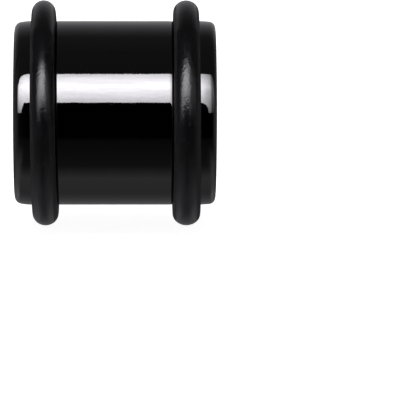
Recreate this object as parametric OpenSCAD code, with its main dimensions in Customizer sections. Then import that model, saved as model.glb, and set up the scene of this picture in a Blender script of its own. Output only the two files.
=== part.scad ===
// Ear plug gauge: a solid polished stone plug for a stretched ear lobe, with a rubber O-ring
// seated in a shallow groove near each end. It lies on both O-rings, as it would by itself.
// Millimetres. X runs along the plug's axis, +Z is up, and the origin is the plug's centre.

/* [Plug] */
// Diameter of the plug, which is its gauge size
plug_d = 16; // [10:0.5:30]
// Length that sits in the lobe, between the facing sides of the two O-rings
wear_l = 10.25; // [6:0.25:20]
// Length of plug that shows beyond the outer side of each O-ring
end_l = 1.5; // [1.2:0.1:5]
// Radius of the rounding where the barrel turns into each end face
edge_r = 0.75; // [0.3:0.05:0.9]

/* [Groove] */
// Depth of each O-ring groove below the barrel
groove_depth = 0.33; // [0.2:0.01:0.5]
// Room between the side of an O-ring and its groove, which is that much rounder than the O-ring
groove_play = 0.2; // [0.05:0.05:0.4]
// Radius of the polished lips where each groove runs out into the barrel
lip_r = 1.5; // [0.4:0.1:2]

/* [O-rings] */
// Thickness of an O-ring's round section
ring_section = 2.1; // [1.6:0.1:3]
// Gap between an O-ring and the bottom of its groove
ring_gap = 0.03; // [0.02:0.01:0.1]

/* [Hidden] */
$fn = 144;

// Radius of the barrel, and the full length from one end face to the other
plug_r = plug_d / 2;
plug_l = wear_l + 2 * ring_section + 2 * end_l;

// Distance from the plug's centre to the middle of each O-ring, along the axis
ring_x = (wear_l + ring_section) / 2;
// Radius of an O-ring's round section, and of the rounder section of its groove
ring_r = ring_section / 2;
groove_r = ring_r + groove_play;
// Distance from the plug's axis to the centre of the O-ring's and of the groove's section
ring_centre_r = plug_r - groove_depth + ring_gap + ring_r;
groove_centre_r = plug_r - groove_depth + groove_r;

// Distance from the plug's axis to the centre of a lip's arc
lip_centre_r = plug_r - lip_r;
// How far a lip's arc and the groove's arc reach into each other, so that they cross cleanly
arc_overlap = 0.001;
// Distance along the axis from a groove's centre to its lip's arc centre, which makes the two
// arcs run into each other in one smooth line
lip_x = sqrt(pow(groove_r + lip_r - arc_overlap, 2) - pow(groove_centre_r - lip_centre_r, 2));

// Colours of the stone and the rubber
STONE = [0.05, 0.05, 0.06];
RUBBER = [0.13, 0.13, 0.14];

// Half outline of the plain plug, with its rounded edges: X is the radius, Y runs along the axis
module barrel_outline() {
    translate([0, -plug_l / 2])
        square([plug_r - edge_r, plug_l]);
    translate([0, edge_r - plug_l / 2])
        square([plug_r, plug_l - 2 * edge_r]);
    for (side = [-1, 1])
        translate([plug_r - edge_r, side * (plug_l / 2 - edge_r)])
            circle(r = edge_r);
}

// Outline that one groove takes out of the plug: the O-ring's seat, and the mouth between lips
module groove_outline() {
    translate([groove_centre_r, 0])
        circle(r = groove_r);
    difference() {
        polygon([
            [groove_centre_r, 0],
            [lip_centre_r, lip_x],
            [groove_centre_r + lip_r, lip_x],
            [groove_centre_r + lip_r, -lip_x],
            [lip_centre_r, -lip_x]
        ]);
        for (side = [-1, 1])
            translate([lip_centre_r, side * lip_x])
                circle(r = lip_r);
    }
}

// Turns an outline about the plug's axis
module turned() {
    rotate([0, 90, 0])
        rotate_extrude()
            children();
}

// O-ring whose middle is at_x along the plug's axis
module o_ring(at_x) {
    color(RUBBER)
        turned()
            translate([ring_centre_r, at_x])
                circle(r = ring_r);
}

module plug_body() {
    color(STONE)
        turned()
            difference() {
                barrel_outline();
                for (side = [-1, 1])
                    translate([0, side * ring_x])
                        groove_outline();
            }
}

module o_ring_left() {
    o_ring(-ring_x);
}

module o_ring_right() {
    o_ring(ring_x);
}

plug_body();
o_ring_left();
o_ring_right();
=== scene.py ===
"""Ear plug gauge: a solid polished black stone plug with a rubber O-ring near each end.

Metres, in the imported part's own frame: X runs along the plug's axis, +Z is up and the origin is
the plug's centre. The plug lies on its two O-rings, as it would by itself.
"""
from math import asin, atan2, cos, pi, radians, sin

import bmesh
import bpy
from mathutils import Matrix, Vector


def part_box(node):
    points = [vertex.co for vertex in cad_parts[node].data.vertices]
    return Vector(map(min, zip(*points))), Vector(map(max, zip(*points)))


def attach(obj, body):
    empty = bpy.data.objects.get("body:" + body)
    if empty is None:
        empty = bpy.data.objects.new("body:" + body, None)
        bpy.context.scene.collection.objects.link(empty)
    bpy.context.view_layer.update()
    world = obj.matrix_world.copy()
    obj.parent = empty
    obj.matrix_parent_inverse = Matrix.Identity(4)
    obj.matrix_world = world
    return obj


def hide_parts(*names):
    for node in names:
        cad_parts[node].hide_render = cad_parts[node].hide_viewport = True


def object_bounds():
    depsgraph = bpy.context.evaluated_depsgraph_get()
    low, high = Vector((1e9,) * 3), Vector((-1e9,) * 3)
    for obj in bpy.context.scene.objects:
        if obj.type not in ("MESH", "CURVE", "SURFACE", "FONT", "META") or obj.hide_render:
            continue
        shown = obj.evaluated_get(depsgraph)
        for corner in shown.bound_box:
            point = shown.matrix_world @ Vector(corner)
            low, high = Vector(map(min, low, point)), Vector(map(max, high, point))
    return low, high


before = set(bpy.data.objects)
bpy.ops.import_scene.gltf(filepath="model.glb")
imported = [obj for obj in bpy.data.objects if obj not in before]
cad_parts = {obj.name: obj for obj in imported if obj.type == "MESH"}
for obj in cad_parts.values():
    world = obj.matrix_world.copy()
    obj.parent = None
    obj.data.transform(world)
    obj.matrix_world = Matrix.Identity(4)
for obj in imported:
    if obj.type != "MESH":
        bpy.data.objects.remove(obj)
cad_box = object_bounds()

MM = 0.001

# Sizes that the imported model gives
plug_low, plug_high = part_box("plug_body")
HALF_L = (plug_high.x - plug_low.x) / 2
PLUG_R = (plug_high.z - plug_low.z) / 2
ring_low, ring_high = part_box("o_ring_right")
RING_X = (ring_low.x + ring_high.x) / 2
RING_OUTER_R = (ring_high.z - ring_low.z) / 2
FLOOR_Z = cad_box[0].z

# Profile of the plug: the depth of each O-ring groove, the tight lips on both sides of it, and the
# soft shoulder that the barrel has before its lip
GROOVE_DEPTH = 0.33 * MM
LIP_R = 0.2 * MM
SHOULDER_R = 2.2 * MM
SHOULDER_SLOPE = radians(11)
# Where each hand-finished half changes, by its side of the plug: the barrel's lip and the rim's
# lip along the axis, how far the rim slopes down towards the end, and the radius of its edge
HALVES = {
    -1: (5.14 * MM, 7.22 * MM, radians(10), 0.66 * MM),
    1: (5.05 * MM, 7.30 * MM, radians(6), 0.57 * MM),
}

# Waves that hand polishing leaves: height, length along the axis and number around the plug
POLISH_WAVES = (
    (1.2e-6, 3.1 * MM, 7),
    (0.8e-6, 1.9 * MM, 13),
    (0.5e-6, 1.1 * MM, 22),
)
# Numbers that start each wave at a place of its own, along the plug and around it
WAVE_START_ALONG = 1.7
WAVE_START_AROUND = 2.3

# Each O-ring: side of the plug, place along the axis, width along the axis, how its top leans and
# how its front turns
O_RINGS = {
    "left": (-1, 6.114 * MM, 2.14 * MM, radians(-0.58), radians(-0.5)),
    "right": (1, 6.195 * MM, 2.31 * MM, radians(-0.11), 0),
}
# Thickness of the O-rings outwards from the axis, and how much wider than elsewhere they are
# squeezed where they rest
O_RING_THICKNESS = 2.05 * MM
O_RING_SQUEEZE = 0.04

# Mesh density: around the plug, around an O-ring and around its section
PLUG_SIDES = 512
RING_SIDES = 320
SECTION_SIDES = 64
# Mesh steps of each stretch of the plug's profile, from the middle of the barrel to the end face
BARREL_STEPS = 20
SHOULDER_STEPS = 8
GROOVE_STEPS = 5
RIM_LIP_STEPS = 6
RIM_STEPS = 7
EDGE_STEPS = 16
FACE_STEPS = 8

# Camera: where the plug's centre shows in the picture, and how large
IMAGE_PX = 416
PLUG_CENTRE_PX = (115.05, 112.87)
PIXEL_AT_PLUG = 0.08713 * MM
CAMERA_DISTANCE = 386 * MM
CAMERA_ELEVATION = radians(10)
SENSOR_MM = 36
CLIP_START = 10 * MM

# Directions that the lights are set out by: straight at the camera, to its right and up
TO_CAMERA = Vector((0, -cos(CAMERA_ELEVATION), sin(CAMERA_ELEVATION)))
CAMERA_RIGHT = Vector((1, 0, 0))
CAMERA_UP = TO_CAMERA.cross(CAMERA_RIGHT)


def new_piece(name, build, material):
    """A smooth mesh object made by a function that fills a bmesh."""
    shape = bmesh.new()
    build(shape)
    bmesh.ops.recalc_face_normals(shape, faces=shape.faces)
    mesh = bpy.data.meshes.new(name)
    shape.to_mesh(mesh)
    shape.free()
    mesh.shade_smooth()
    piece = bpy.data.objects.new(name, mesh)
    bpy.context.scene.collection.objects.link(piece)
    piece.data.materials.append(material)
    return piece


def join_rings(shape, rings, closed=False):
    """Faces between neighbouring rings of vertices, each ring as long as the next."""
    count = len(rings[0])
    followers = rings[1:] + rings[:1] if closed else rings[1:]
    for ring, follower in zip(rings, followers):
        for i in range(count):
            j = (i + 1) % count
            shape.faces.new((ring[i], ring[j], follower[j], follower[i]))


def arc(centre_x, centre_r, radius, start, end, steps):
    """Points (x, r) on an arc. Its angles turn from straight outwards (0) towards +x."""
    turns = [start + (end - start) * i / steps for i in range(steps + 1)]
    return [(centre_x + radius * sin(a), centre_r + radius * cos(a)) for a in turns]


def groove_arc(reach, height):
    """Radius of the arc from a groove's bottom into its lip, and the slope where the two meet.

    The centre of the lip's own arc lies at that reach along the axis from the groove's middle, and
    at that height above the groove's bottom.
    """
    radius = (reach**2 + height**2 - LIP_R**2) / (2 * (LIP_R + height))
    return radius, asin(reach / (radius + LIP_R))


def half_profile(barrel_lip, rim_lip, rim_slope, edge_r):
    """Points (x, r) from the middle of the barrel to the centre of one end face."""
    bottom_r = PLUG_R - GROOVE_DEPTH
    shoulder_x = barrel_lip - SHOULDER_R * sin(SHOULDER_SLOPE)
    inner_x = barrel_lip - LIP_R * sin(SHOULDER_SLOPE)
    inner_r = PLUG_R - SHOULDER_R + (SHOULDER_R - LIP_R) * cos(SHOULDER_SLOPE)
    inner_groove_r, inner_slope = groove_arc(RING_X - inner_x, inner_r - bottom_r)
    outer_r = PLUG_R - LIP_R
    outer_groove_r, outer_slope = groove_arc(rim_lip - RING_X, outer_r - bottom_r)

    rim_l = HALF_L - edge_r * (1 - sin(rim_slope)) - rim_lip
    rim_r = rim_l / sin(rim_slope)
    edge_centre_r = PLUG_R - rim_r * (1 - cos(rim_slope)) - edge_r * cos(rim_slope)

    inner_centre_r = bottom_r + inner_groove_r
    outer_centre_r = bottom_r + outer_groove_r
    points = [(shoulder_x * i / BARREL_STEPS, PLUG_R) for i in range(BARREL_STEPS)]
    points += arc(shoulder_x, PLUG_R - SHOULDER_R, SHOULDER_R, 0, SHOULDER_SLOPE, SHOULDER_STEPS)[:-1]
    points += arc(inner_x, inner_r, LIP_R, SHOULDER_SLOPE, inner_slope, GROOVE_STEPS)[:-1]
    points += arc(RING_X, inner_centre_r, inner_groove_r, pi + inner_slope, pi, GROOVE_STEPS)[:-1]
    points += arc(RING_X, outer_centre_r, outer_groove_r, pi, pi - outer_slope, GROOVE_STEPS)
    points += arc(rim_lip, outer_r, LIP_R, -outer_slope, 0, RIM_LIP_STEPS)[1:-1]
    points += arc(rim_lip, PLUG_R - rim_r, rim_r, 0, rim_slope, RIM_STEPS)[:-1]
    points += arc(HALF_L - edge_r, edge_centre_r, edge_r, rim_slope, pi / 2, EDGE_STEPS)
    points += [(HALF_L, edge_centre_r * (1 - i / FACE_STEPS)) for i in range(1, FACE_STEPS)]
    return points


def polish_wave(along, turn):
    """Height of the polished surface above its true form, along the profile and around it."""
    total = 0
    for height, length, around in POLISH_WAVES:
        down_axis = sin(2 * pi * along / length + WAVE_START_ALONG * around)
        total += height * down_axis * cos(around * turn + WAVE_START_AROUND * length / MM)
    return total


def plug_mesh(shape):
    """The whole plug, turned about X, with the faint waves of its polish."""
    left, right = (half_profile(*HALVES[side]) for side in (-1, 1))
    profile = [(-x, r) for x, r in reversed(left[1:])] + right
    rings = []
    for x, r in profile:
        along = x + (r if x > 0 else -r)
        ring = []
        for i in range(PLUG_SIDES):
            turn = 2 * pi * i / PLUG_SIDES
            out = r + polish_wave(along, turn) * min(1, r / PLUG_R)
            ring.append(shape.verts.new((x, out * cos(turn), out * sin(turn))))
        rings.append(ring)
    join_rings(shape, rings)
    for ring, x in ((rings[0], -HALF_L), (rings[-1], HALF_L)):
        middle = shape.verts.new((x, 0, 0))
        for i in range(PLUG_SIDES):
            shape.faces.new((ring[i], ring[(i + 1) % PLUG_SIDES], middle))


def o_ring_mesh(side, place, width, lean, turned):
    """A function that fills a bmesh with one O-ring, a little askew in its groove."""
    thick_r = O_RING_THICKNESS / 2
    centre_r = RING_OUTER_R - thick_r
    askew = Matrix.Rotation(lean, 4, "Y") @ Matrix.Rotation(turned, 4, "Z")
    stand = Matrix.Translation((side * place, 0, 0)) @ askew

    def build(shape):
        rings = []
        for i in range(RING_SIDES):
            turn = 2 * pi * i / RING_SIDES
            wide_r = width / 2 * (1 - O_RING_SQUEEZE * sin(turn))
            ring = []
            for j in range(SECTION_SIDES):
                across = 2 * pi * j / SECTION_SIDES
                r = centre_r + thick_r * cos(across)
                point = Vector((wide_r * sin(across), r * cos(turn), r * sin(turn)))
                ring.append(shape.verts.new(stand @ point))
            rings.append(ring)
        join_rings(shape, rings, closed=True)

    return build


class Graph:
    """Adds shader nodes and links them."""

    def __init__(self, tree):
        self.tree = tree
        tree.nodes.clear()

    def add(self, kind, values=(), **settings):
        """A node, with settings on the node itself, and values or links on its inputs."""
        node = self.tree.nodes.new(kind)
        for name, value in settings.items():
            setattr(node, name, value)
        for socket, value in dict(values).items():
            if isinstance(value, bpy.types.NodeSocket):
                self.tree.links.new(value, node.inputs[socket])
            else:
                node.inputs[socket].default_value = value
        return node

    def math(self, operation, *values, clamp=False):
        """The result of a Math node."""
        node = self.add("ShaderNodeMath", enumerate(values), operation=operation, use_clamp=clamp)
        return node.outputs[0]

    def millimetres(self):
        """The point on the object, in millimetres."""
        where = self.add("ShaderNodeTexCoord").outputs["Object"]
        scaled = self.add("ShaderNodeVectorMath", {0: where, "Scale": 1 / MM}, operation="SCALE")
        return scaled.outputs[0]

    def noise(self, point, scale, detail=2.0, roughness=0.5, distortion=0.0):
        """Noise from 0 to 1 whose scale is in cells to the millimetre."""
        values = {"Vector": point, "Scale": scale, "Detail": detail}
        values.update({"Roughness": roughness, "Distortion": distortion})
        return self.add("ShaderNodeTexNoise", values).outputs["Fac"]

    def ramp(self, factor, stops):
        """A colour ramp through stops of (position, grey or colour)."""
        node = self.add("ShaderNodeValToRGB", {"Fac": factor})
        elements = node.color_ramp.elements
        while len(elements) < len(stops):
            elements.new(1)
        for element, (position, colour) in zip(elements, stops):
            grey = isinstance(colour, (int, float))
            element.position = position
            element.color = (colour, colour, colour, 1) if grey else (*colour, 1)
        return node.outputs["Color"]

    def map_range(self, value, low, high, to_low=0.0, to_high=1.0, smooth=True):
        """A value brought from one range to another and held inside it."""
        values = {"Value": value, "From Min": low, "From Max": high}
        values.update({"To Min": to_low, "To Max": to_high})
        kind = "SMOOTHSTEP" if smooth else "LINEAR"
        return self.add("ShaderNodeMapRange", values, interpolation_type=kind).outputs["Result"]

    def profile(self, value, stops):
        """A number that follows another through stops of (other, number), held beyond them."""
        low, high = stops[0][0], stops[-1][0]
        share = self.map_range(value, low, high, smooth=False)
        return self.ramp(share, [((at - low) / (high - low), number) for at, number in stops])


def new_material(name):
    material = bpy.data.materials.new(name)
    material.use_nodes = True
    return material, Graph(material.node_tree)


# How far from a vein's middle it starts to fade and is gone, as shares of its length
VEIN_FADING = (0.35, 0.6)


def vein_strength(graph, across, up, start, end, width):
    """How strongly a thin pale vein shows, from its two ends on the end face in millimetres."""
    run = Vector(end) - Vector(start)
    length = run.length
    run.normalize()
    from_start = graph.math("SUBTRACT", across, start[0])
    above_start = graph.math("SUBTRACT", up, start[1])
    along = graph.math(
        "ADD",
        graph.math("MULTIPLY", from_start, run.x),
        graph.math("MULTIPLY", above_start, run.y),
    )
    aside = graph.math(
        "ADD",
        graph.math("MULTIPLY", from_start, -run.y),
        graph.math("MULTIPLY", above_start, run.x),
    )
    near = graph.map_range(graph.math("ABSOLUTE", aside), 0.0, width, 1.0, 0.0)
    from_middle = graph.math("ABSOLUTE", graph.math("SUBTRACT", along, length / 2))
    fading = (length * share for share in VEIN_FADING)
    inside = graph.map_range(from_middle, *fading, 1.0, 0.0)
    return graph.math("MULTIPLY", near, inside)


# Noises of the two materials: cells to the millimetre, and how fine, rough and twisted they are
CLOUDS = {"scale": 0.19, "detail": 6, "roughness": 0.6, "distortion": 0.7}
MOTTLING = {"scale": 2.2, "detail": 4, "roughness": 0.7}
VEIN_WANDER = {"scale": 0.9, "detail": 4}
VEIN_BREAKS = {"scale": 1.3, "detail": 3}
RUB_MARKS = {"scale": 5.0, "detail": 3, "roughness": 0.6}
POLISHED_SKIN = {"scale": 2.6, "detail": 4, "roughness": 0.6}
RUBBER_PATCHES = {"scale": 0.7, "detail": 5, "roughness": 0.65}
RUBBER_GRAIN = {"scale": 5.5, "detail": 2, "roughness": 0.5}
RUBBER_DUST = {"scale": 6.0, "detail": 2}

# Ranges of the stone: where the noise or distance starts and ends, and what it becomes there. All
# distances are in millimetres, the fading's from the axis.
CLOUD_TONES = (0.3, 0.72, 0.25, 0.95)
CLOUD_FADING = (0.0, 7.2, 0.9, 0.2)
MOTTLING_TONES = (0.35, 0.65, 0.5, 1.0)
VEIN_BREAK_TONES = (0.35, 0.65, 0.2, 1.0)
STONE_ROUGHNESS = (0.3, 0.7, 0.025, 0.045)
# How far below the end face the clouds and the veins start to show, and show in full
CLOUD_DEPTH = (0.6, 0.05)
VEIN_DEPTH = (0.3, 0.05)
# How strongly the stone's clouds show on the barrel, where they are 1 on the end faces
BARREL_CLOUDS = 0.01
# Veins on the +X face: one end and the other, across and up, and the width, in millimetres
VEINS = (((-3.9, -2.7), (2.6, -6.5), 0.2), ((1.9, -0.4), (2.4, -6.6), 0.18))
STONE_COLOURS = ((0.0, (0.0001, 0.0001, 0.0001)), (1.0, (0.02, 0.0205, 0.024)))
STONE_IOR = 1.54
# Depth of the polish's fine marks, in metres
STONE_RELIEF = 1.2e-6


def stone_material():
    """Polished black stone, with faint grey clouds and veins inside it."""
    material, graph = new_material("polished_black_stone")
    point = graph.millimetres()
    place = graph.add("ShaderNodeSeparateXYZ", {0: point}).outputs
    from_middle = graph.math("ABSOLUTE", place["X"])
    end = HALF_L / MM
    clouds = graph.noise(point, **CLOUDS)
    mottling = graph.noise(point, **MOTTLING)
    near_end = (end - off for off in CLOUD_DEPTH)
    depth = graph.map_range(from_middle, *near_end, BARREL_CLOUDS, 1.0)
    radial = graph.add("ShaderNodeVectorMath", {0: point, 1: (0, 1, 1)}, operation="MULTIPLY")
    from_axis = graph.add("ShaderNodeVectorMath", {0: radial.outputs[0]}, operation="LENGTH")
    fading = graph.map_range(from_axis.outputs["Value"], *CLOUD_FADING)
    cloudy = graph.map_range(clouds, *CLOUD_TONES)
    haze = graph.math("MULTIPLY", graph.math("MULTIPLY", cloudy, fading), depth)

    wander = graph.math("SUBTRACT", graph.noise(point, **VEIN_WANDER), 0.5)
    across = graph.math("ADD", place["Y"], wander)
    up = graph.math("SUBTRACT", place["Z"], wander)
    strengths = [vein_strength(graph, across, up, *vein) for vein in VEINS]
    on_face = graph.map_range(place["X"], *(end - off for off in VEIN_DEPTH))
    broken = graph.map_range(graph.noise(point, **VEIN_BREAKS), *VEIN_BREAK_TONES)
    veins = graph.math("MULTIPLY", graph.math("MAXIMUM", *strengths), on_face)
    veins = graph.math("MULTIPLY", veins, broken)
    pale = graph.math("ADD", haze, veins)
    speckles = graph.map_range(mottling, *MOTTLING_TONES)
    speckled = graph.math("MULTIPLY", pale, speckles, clamp=True)
    colour = graph.ramp(speckled, STONE_COLOURS)

    roughness = graph.map_range(graph.noise(point, **RUB_MARKS), *STONE_ROUGHNESS)
    skin = graph.noise(point, **POLISHED_SKIN)
    bump = graph.add("ShaderNodeBump", {"Height": skin, "Strength": 1.0, "Distance": STONE_RELIEF})
    shader = graph.add("ShaderNodeBsdfPrincipled", {
        "Base Color": colour,
        "Roughness": roughness,
        "IOR": STONE_IOR,
        "Normal": bump.outputs["Normal"],
    })
    graph.add("ShaderNodeOutputMaterial", {"Surface": shader.outputs["BSDF"]})
    return material


# Ranges of the rubber, as for the stone, the dullness's by the distance from the O-ring's middle
DUST_FLECKS = (0.66, 0.8)
RUBBER_ROUGHNESS = (0.3, 0.7, 0.16, 0.21)
RUBBER_DULLNESS = (0.75, 1.0, 0.0, 0.35)
# How much of the rubber's tone is its patches and its dust, and how far the dust stands up in the
# grain's relief
PATCH_TONE = 0.6
DUST_TONE = 0.4
DUST_RELIEF = 0.35
RUBBER_COLOURS = (
    (0.15, (0.0029, 0.0029, 0.0034)),
    (0.45, (0.0048, 0.0048, 0.0056)),
    (0.7, (0.018, 0.018, 0.02)),
)
RUBBER_IOR = 1.5
RUBBER_SPECULAR = 0.18
# Depth of the grain, in metres
RUBBER_RELIEF = 3e-5


def rubber_material():
    """Black moulded rubber with a satin skin, a fine grain and pale dust, dull beside the stone."""
    material, graph = new_material("satin_black_rubber")
    point = graph.millimetres()
    patches = graph.noise(point, **RUBBER_PATCHES)
    grain = graph.noise(point, **RUBBER_GRAIN)
    dust = graph.map_range(graph.noise(point, **RUBBER_DUST), *DUST_FLECKS)
    dusty = graph.math("MULTIPLY", dust, DUST_TONE)
    tone = graph.math("ADD", graph.math("MULTIPLY", patches, PATCH_TONE), dusty)
    colour = graph.ramp(tone, RUBBER_COLOURS)
    along = graph.math("ABSOLUTE", graph.add("ShaderNodeSeparateXYZ", {0: point}).outputs["X"])
    from_middle = graph.math("ABSOLUTE", graph.math("SUBTRACT", along, RING_X / MM))
    dull = graph.map_range(from_middle, *RUBBER_DULLNESS)
    satin = graph.map_range(patches, *RUBBER_ROUGHNESS)
    roughness = graph.math("ADD", satin, dull)
    relief = graph.math("ADD", grain, graph.math("MULTIPLY", dust, DUST_RELIEF))
    bump = graph.add("ShaderNodeBump", {"Height": relief, "Strength": 1.0, "Distance": RUBBER_RELIEF})
    shader = graph.add("ShaderNodeBsdfPrincipled", {
        "Base Color": colour,
        "Roughness": roughness,
        "IOR": RUBBER_IOR,
        "Specular IOR Level": RUBBER_SPECULAR,
        "Normal": bump.outputs["Normal"],
    })
    graph.add("ShaderNodeOutputMaterial", {"Surface": shader.outputs["BSDF"]})
    return material


def add_plug():
    plug = new_piece("stone_plug", plug_mesh, stone_material())
    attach(plug, "root")
    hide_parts("plug_body")


def add_o_rings():
    rubber = rubber_material()
    for name, sizes in O_RINGS.items():
        ring = new_piece(f"rubber_o_ring_{name}", o_ring_mesh(*sizes), rubber)
        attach(ring, "root")
        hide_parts(f"o_ring_{name}")


def add_camera():
    """The photograph's view: straight at the plug's side, with the plug up and to the left."""
    right = (IMAGE_PX / 2 - PLUG_CENTRE_PX[0]) * PIXEL_AT_PLUG
    down = (IMAGE_PX / 2 - PLUG_CENTRE_PX[1]) * PIXEL_AT_PLUG
    turn = Matrix.Rotation(-atan2(right, CAMERA_DISTANCE), 4, "Y")
    tilt = Matrix.Rotation(-atan2(down, CAMERA_DISTANCE), 4, "X")
    straight = Matrix((CAMERA_RIGHT, CAMERA_UP, TO_CAMERA)).transposed().to_4x4()
    data = bpy.data.cameras.new("camera")
    data.sensor_width = SENSOR_MM
    data.lens = SENSOR_MM * CAMERA_DISTANCE / (IMAGE_PX * PIXEL_AT_PLUG)
    data.clip_start = CLIP_START
    camera = bpy.data.objects.new("camera", data)
    camera.matrix_world = Matrix.Translation(TO_CAMERA * CAMERA_DISTANCE) @ straight @ turn @ tilt
    bpy.context.scene.collection.objects.link(camera)
    bpy.context.scene.camera = camera


# Studio: a pale floor that bends up into a round wall. The wall's radius and height, the bend's
# radius, and how far the floor is flat, in metres
SWEEP_R = 0.9
SWEEP_H = 1.3
SWEEP_BEND = 0.35
FLAT_R = SWEEP_R - SWEEP_BEND
FLOOR_MIDDLE_R = FLAT_R / 4
SWEEP_SIDES = 96
BEND_STEPS = 16
# Its paper: the fibres, their two tones and the paper's own glow
PAPER_FIBRES = {"scale": 0.35, "detail": 5, "roughness": 0.6}
PAPER_COLOURS = ((0.3, (0.865, 0.865, 0.87)), (0.7, (0.88, 0.88, 0.885)))
FLOOR_GLOW = 1.08
# Light above the plug: its width and height in metres, and its power in watts
OVERHEAD_W = 0.9
OVERHEAD_H = 1.0
OVERHEAD_POWER = 5.5


def sweep_rings(shape, outline):
    """Rings of vertices about Z, from points (radius, height above the floor)."""
    turns = [2 * pi * i / SWEEP_SIDES for i in range(SWEEP_SIDES)]
    return [
        [shape.verts.new((r * cos(t), r * sin(t), FLOOR_Z + height)) for t in turns]
        for r, height in outline
    ]


def floor_mesh(shape):
    rings = sweep_rings(shape, [(FLOOR_MIDDLE_R, 0), (FLAT_R, 0)])
    join_rings(shape, rings)
    shape.faces.new(rings[0])


def wall_mesh(shape):
    bend = [
        (FLAT_R + SWEEP_BEND * sin(a), SWEEP_BEND * (1 - cos(a)))
        for a in (pi / 2 * i / BEND_STEPS for i in range(BEND_STEPS + 1))
    ]
    join_rings(shape, sweep_rings(shape, bend + [(SWEEP_R, SWEEP_H)]))


def paper_material():
    material, graph = new_material("pale_studio_paper")
    colour = graph.ramp(graph.noise(graph.millimetres(), **PAPER_FIBRES), PAPER_COLOURS)
    shader = graph.add("ShaderNodeBsdfPrincipled", {
        "Base Color": colour,
        "Roughness": 1.0,
        "Specular IOR Level": 0.0,
        "Emission Color": colour,
        "Emission Strength": FLOOR_GLOW,
    })
    graph.add("ShaderNodeOutputMaterial", {"Surface": shader.outputs["BSDF"]})
    return material


def add_floor():
    """The floor, which lights the plug from below, and the wall, which lights nothing."""
    paper = paper_material()
    floor = new_piece("studio_floor", floor_mesh, paper)
    wall = new_piece("studio_wall", wall_mesh, paper)
    wall.visible_diffuse = False
    for piece in (floor, wall):
        piece.visible_glossy = False


def add_overhead_light():
    data = bpy.data.lights.new("overhead", "AREA")
    data.shape = "DISK"
    data.size = OVERHEAD_W
    data.energy = OVERHEAD_POWER
    light = bpy.data.objects.new("overhead", data)
    light.location = (0, 0, OVERHEAD_H)
    light.visible_camera = False
    light.visible_glossy = False
    bpy.context.scene.collection.objects.link(light)


# Colour of the softbox and of the studio around the plug
STUDIO_TINT = (0.975, 0.955, 1.0)

# Softbox close in front of the plug, seen only as a reflection. It lies square to the camera's
# line, and all its measures but this distance are in millimetres, to the right of that line and
# above it.
SOFTBOX_DISTANCE = 50 * MM
SOFTBOX_SIDES = (-80.0, 200.0)
# Straight top edge, and the corner where it bends down to the left: where the corner starts, where
# it ends, and the top edge's height beyond it
SOFTBOX_TOP = 53.3
SOFTBOX_CORNER = (-15.0, -32.0, 38.0)
CORNER_STEPS = 12
# Slot that the lens looks through: its lower left, upper left and right ends, and its height. Then
# the rounding of its upper right corner, and how steeply its right side stands.
LENS_SLOT = (-21.2, -18.5, 15.5, 10.4)
LENS_SLOT_ROUND = 8.0
LENS_SLOT_STEPS = 8
LENS_SLOT_STEP_W = 0.1
# Brightness upwards, strongest in the middle, and the share of it across, which fades to both sides
SOFTBOX_GLOW = ((0, 5), (30, 25), (55, 12))
SOFTBOX_SHARE = ((-60, 0.0), (-20, 1.0), (5, 1.0), (25, 0.1), (200, 0.0))
# How unevenly the softbox's cloth glows in its broad folds and in its fine upright creases, the
# noise of both, and how much narrower than tall the creases are
SOFTBOX_FOLDS = 0.5
SOFTBOX_CREASES = 0.6
FOLDS = {"scale": 0.16, "detail": 3}
CREASES = {"scale": 0.4, "detail": 3, "roughness": 0.7}
CREASE_SHAPE = (8.0, 1.0, 1.0)


def softbox_edges():
    """Points (across, lower edge, upper edge) of the softbox, from left to right."""
    low_left, high_left, slot_right, slot_height = LENS_SLOT
    corner_start, corner_end, corner_height = SOFTBOX_CORNER
    edges = [(SOFTBOX_SIDES[0], 0, corner_height)]
    for i in range(CORNER_STEPS + 1):
        a = pi / 2 * i / CORNER_STEPS
        across = corner_start + (corner_end - corner_start) * cos(a)
        upper = corner_height + (SOFTBOX_TOP - corner_height) * sin(a)
        lower = slot_height * (across - low_left) / (high_left - low_left)
        edges.append((across, min(max(lower, 0), slot_height), upper))
    for i in range(LENS_SLOT_STEPS + 1):
        a = pi / 2 * (1 - i / LENS_SLOT_STEPS)
        across = slot_right - LENS_SLOT_ROUND * (1 - cos(a))
        edges.append((across, slot_height - LENS_SLOT_ROUND * (1 - sin(a)), SOFTBOX_TOP))
    edges.append((slot_right + LENS_SLOT_STEP_W, 0, SOFTBOX_TOP))
    edges.append((SOFTBOX_SIDES[1], 0, SOFTBOX_TOP))
    return edges


def softbox_mesh(shape):
    edges = softbox_edges()
    lower = [shape.verts.new((across * MM, low * MM, 0)) for across, low, _ in edges]
    upper = [shape.verts.new((across * MM, high * MM, 0)) for across, _, high in edges]
    for i in range(len(edges) - 1):
        shape.faces.new((lower[i], lower[i + 1], upper[i + 1], upper[i]))


def only_reflected(light):
    """Leaves a light that shows only in glossy surfaces and lights nothing else."""
    light.visible_camera = False
    light.visible_diffuse = False
    light.visible_transmission = False
    light.visible_volume_scatter = False
    light.visible_shadow = False


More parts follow.
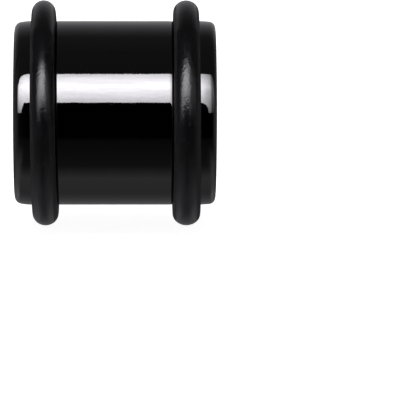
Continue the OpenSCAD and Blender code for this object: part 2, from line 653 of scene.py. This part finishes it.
def add_softbox():
    material, graph = new_material("softbox")
    point = graph.millimetres()
    place = graph.add("ShaderNodeSeparateXYZ", {0: point}).outputs
    glow = graph.profile(place["Y"], SOFTBOX_GLOW)
    share = graph.profile(place["X"], SOFTBOX_SHARE)
    narrowed = graph.add("ShaderNodeVectorMath", {0: point, 1: CREASE_SHAPE}, operation="MULTIPLY")
    folds = graph.math("MULTIPLY", graph.noise(point, **FOLDS), SOFTBOX_FOLDS)
    creases = graph.noise(narrowed.outputs[0], **CREASES)
    uneven = graph.math("MULTIPLY_ADD", creases, SOFTBOX_CREASES, folds)
    cloth = graph.math("ADD", uneven, 1 - (SOFTBOX_FOLDS + SOFTBOX_CREASES) / 2)
    strength = graph.math("MULTIPLY", graph.math("MULTIPLY", glow, share), cloth)
    shader = graph.add("ShaderNodeEmission", {"Color": (*STUDIO_TINT, 1), "Strength": strength})
    graph.add("ShaderNodeOutputMaterial", {"Surface": shader.outputs[0]})
    softbox = new_piece("softbox", softbox_mesh, material)
    facing = Matrix((CAMERA_RIGHT, CAMERA_UP, TO_CAMERA)).transposed().to_4x4()
    softbox.matrix_world = Matrix.Translation(TO_CAMERA * SOFTBOX_DISTANCE) @ facing
    only_reflected(softbox)


# Upright cards over the plug, seen only as reflections: a grey flag that hides the softbox from
# behind, and just behind it a soft light for the views from there. Each has its place along Y, and
# its brightness upwards by millimetres above the plug's axis.
CARD_HALF_W = 170 * MM
FLAG_GLOW = ((7.0, 0.09), (90, 0.09))
BACK_GLOW = ((7.0, 0.1), (9.5, 0.1), (14, 0.5), (20, 1.5), (34, 2.6), (60, 2.2), (90, 0.1))
CARDS = {
    "flag": (-5.05 * MM, FLAG_GLOW),
    "back_light": (-5.0 * MM, BACK_GLOW),
}


def add_card(name, place, glow):
    """An upright card across the plug, at its place along Y and with its glow upwards."""
    material, graph = new_material(name)
    up = graph.add("ShaderNodeSeparateXYZ", {0: graph.millimetres()}).outputs["Z"]
    strength = graph.profile(up, glow)
    shader = graph.add("ShaderNodeEmission", {"Color": (*STUDIO_TINT, 1), "Strength": strength})
    graph.add("ShaderNodeOutputMaterial", {"Surface": shader.outputs[0]})

    def build(shape):
        low, high = glow[0][0] * MM, glow[-1][0] * MM
        corners = ((-1, low), (1, low), (1, high), (-1, high))
        shape.faces.new([shape.verts.new((side * CARD_HALF_W, place, z)) for side, z in corners])

    card = new_piece(name, build, material)
    only_reflected(card)


# Black discs off the two end faces, seen only as reflections, which keep the faces dark: how far
# off they are, their radius, and the radius in millimetres from which they thin out
DISC_GAP = 0.5 * MM
DISC_R = 7.35 * MM
DISC_SOLID_R = 7.1
DISC_SIDES = 96


def disc_material():
    """Black that thins out to nothing towards the disc's edge."""
    material, graph = new_material("black_disc")
    place = graph.add("ShaderNodeSeparateXYZ", {0: graph.millimetres()}).outputs
    squares = (graph.math("POWER", place[axis], 2) for axis in ("Y", "Z"))
    from_middle = graph.math("SQRT", graph.math("ADD", *squares))
    thinning = graph.map_range(from_middle, DISC_SOLID_R, DISC_R / MM)
    black = graph.add("ShaderNodeEmission", {"Strength": 0.0}).outputs[0]
    clear = graph.add("ShaderNodeBsdfTransparent").outputs[0]
    shader = graph.add("ShaderNodeMixShader", {0: thinning, 1: black, 2: clear})
    graph.add("ShaderNodeOutputMaterial", {"Surface": shader.outputs[0]})
    return material


def add_discs():
    material = disc_material()
    for name, side in (("left", -1), ("right", 1)):

        def build(shape):
            x = side * (HALF_L + DISC_GAP)
            turns = (2 * pi * i / DISC_SIDES for i in range(DISC_SIDES))
            shape.faces.new([shape.verts.new((x, DISC_R * cos(t), DISC_R * sin(t))) for t in turns])

        disc = new_piece(f"black_disc_{name}", build, material)
        only_reflected(disc)


# Plain studio around the plug: its brightness by the angle about X from the camera's line, upwards
# positive, in degrees. In order they are the room below and behind, the floor under the plug and in
# front of it, the dark room behind the camera, the ceiling, and the lighter wall at the back.
STUDIO_GLOW = (
    (-180, 0.2), (-120, 0.2), (-90, 0.4), (-70, 0.1), (-35, 0.05), (-30, 0.0), (10, 0.0),
    (20, 0.1), (110, 0.1), (150, 0.4), (180, 0.4),
)
# Brightness of the studio straight to each side, and how fast it fades away from there
SIDE_GLOW = {-1: (0.3, 2), 1: (0.35, 6)}
# Brightness of the studio low on both sides: how far to each side it starts and is full, and its
# brightness by how far down
LOW_SIDE_ACROSS = {-1: (0.2, 0.3), 1: (0.1, 0.3)}
LOW_SIDE_GLOW = ((0.5, 0.0), (0.8, 0.3), (1.0, 0.1))


def side_glow(graph, across, up):
    """Light from the studio's two sides, by how far across and up a direction points."""
    low_glow = graph.profile(graph.math("MULTIPLY", up, -1), LOW_SIDE_GLOW)
    glows = []
    for side, (glow, fading) in SIDE_GLOW.items():
        outwards = graph.math("MAXIMUM", graph.math("MULTIPLY", across, side), 0)
        level = graph.math("MULTIPLY", graph.math("POWER", outwards, fading), glow)
        low = graph.map_range(outwards, *LOW_SIDE_ACROSS[side])
        glows.append(graph.math("MULTIPLY_ADD", low, low_glow, level))
    return graph.math("ADD", *glows)


def add_world():
    """The studio around the plug, bright by the angle about its axis and dark along it."""
    world = bpy.data.worlds.new("studio")
    world.use_nodes = True
    graph = Graph(world.node_tree)
    direction = graph.add("ShaderNodeTexCoord").outputs["Generated"]
    part = graph.add("ShaderNodeSeparateXYZ", {0: direction}).outputs
    angle = graph.math("ARCTAN2", part["Z"], graph.math("MULTIPLY", part["Y"], -1))
    turned = graph.math("SUBTRACT", angle, CAMERA_ELEVATION)
    wrapped = graph.math("MULTIPLY", graph.math("WRAP", turned, pi, -pi), 180 / pi)
    around = graph.profile(wrapped, STUDIO_GLOW)
    facing = graph.math("SUBTRACT", 1, graph.math("POWER", part["X"], 2))
    aside = side_glow(graph, part["X"], part["Z"])
    strength = graph.math("MULTIPLY_ADD", around, facing, aside)
    shader = graph.add("ShaderNodeBackground", {"Color": (*STUDIO_TINT, 1), "Strength": strength})
    graph.add("ShaderNodeOutputWorld", {"Surface": shader.outputs[0]})
    bpy.context.scene.world = world


add_camera()
add_plug()
add_o_rings()
add_floor()
add_overhead_light()
add_softbox()
for card, sizes in CARDS.items():
    add_card(card, *sizes)
add_discs()
add_world()
bpy.context.scene.view_settings.view_transform = "Standard"
